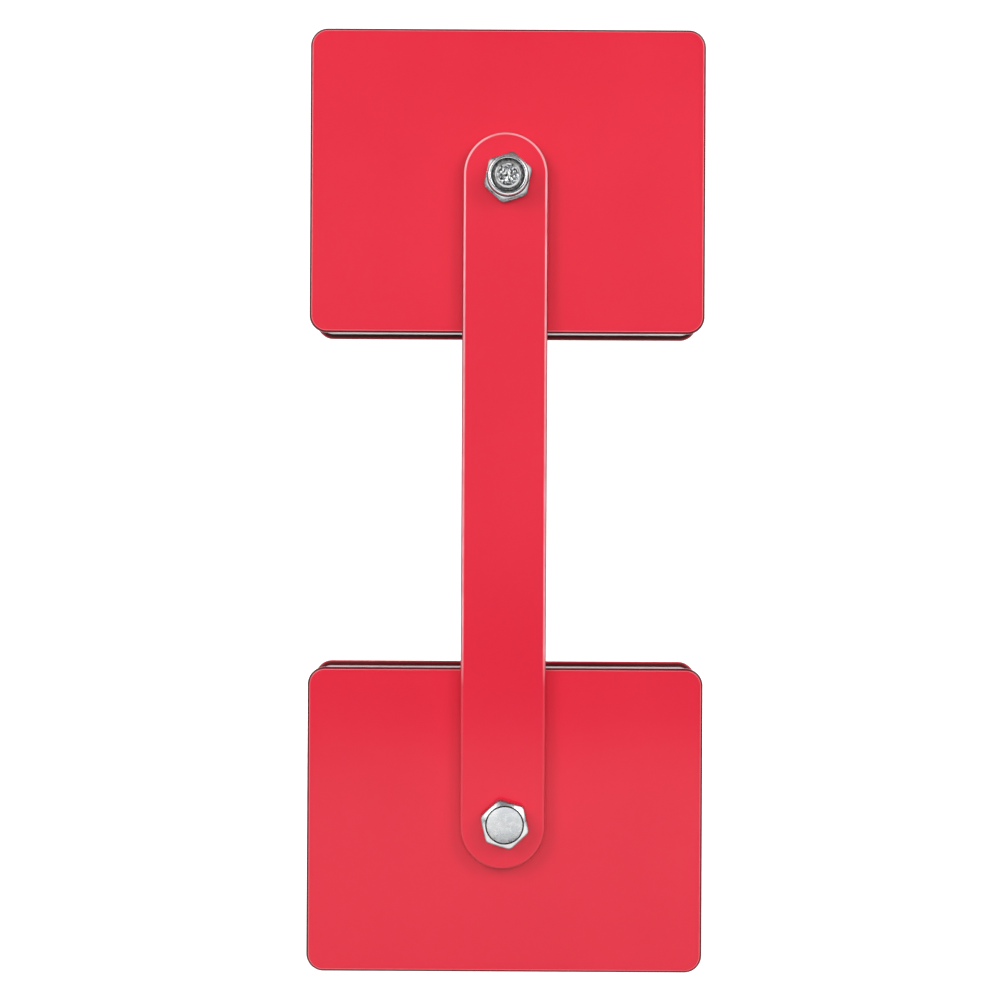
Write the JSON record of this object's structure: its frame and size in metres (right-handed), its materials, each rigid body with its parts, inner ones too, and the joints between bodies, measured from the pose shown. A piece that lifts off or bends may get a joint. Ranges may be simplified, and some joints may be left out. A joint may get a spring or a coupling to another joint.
{
  "type": "welding magnet holder",
  "caption": "Two rectangular sandwich magnets with red steel pole plates, joined by a pair of flat link arms; each magnet turns on its own bolt and lock nut.",
  "frame": {"origin": "middle of the lower head's bottom edges, on the surface that the holder stands on", "axes": "+Z from the lower head to the upper head along the arms, -Y the front (the side with the lower bolt's head and the upper lock nut), +X to the right seen from the front; all three pieces are square to each other at rest"},
  "size_m": [0.091, 0.047, 0.217],
  "materials": {
    "red_paint": "satin",
    "zinc_plated_steel": "satin",
    "bare_aluminium": "satin",
    "ferrite": "matte",
    "nylon": "satin"
  },
  "bodies": {
    "link": {"front_link_arm": "red_paint", "rear_link_arm": "red_paint", "lower_pivot_bolt": "zinc_plated_steel", "lower_lock_nut": "zinc_plated_steel", "lower_nut_nylon_ring": "nylon", "lower_front_friction_washer": "nylon", "lower_rear_friction_washer": "nylon", "upper_pivot_bolt": "zinc_plated_steel", "upper_lock_nut": "zinc_plated_steel", "upper_nut_nylon_ring": "nylon", "upper_front_friction_washer": "nylon", "upper_rear_friction_washer": "nylon"},
    "lower_head": {"lower_head_front_plate": "red_paint", "lower_head_rear_plate": "red_paint", "lower_head_spacer_frame": "bare_aluminium", "lower_head_pivot_sleeve": "zinc_plated_steel", "lower_head_front_left_magnet": "ferrite", "lower_head_front_right_magnet": "ferrite", "lower_head_rear_left_magnet": "ferrite", "lower_head_rear_right_magnet": "ferrite"},
    "upper_head": {"upper_head_front_plate": "red_paint", "upper_head_rear_plate": "red_paint", "upper_head_spacer_frame": "bare_aluminium", "upper_head_pivot_sleeve": "zinc_plated_steel", "upper_head_front_left_magnet": "ferrite", "upper_head_front_right_magnet": "ferrite", "upper_head_rear_left_magnet": "ferrite", "upper_head_rear_right_magnet": "ferrite"}
  },
  "joints": [
    {"name": "lower_pivot", "type": "hinge", "parent": "link", "child": "lower_head", "pos_m": [0, 0, 0.035], "axis": [0, 1, 0], "continuous": true},
    {"name": "upper_pivot", "type": "hinge", "parent": "link", "child": "upper_head", "pos_m": [0, 0, 0.182], "axis": [0, 1, 0], "continuous": true}
  ]
}
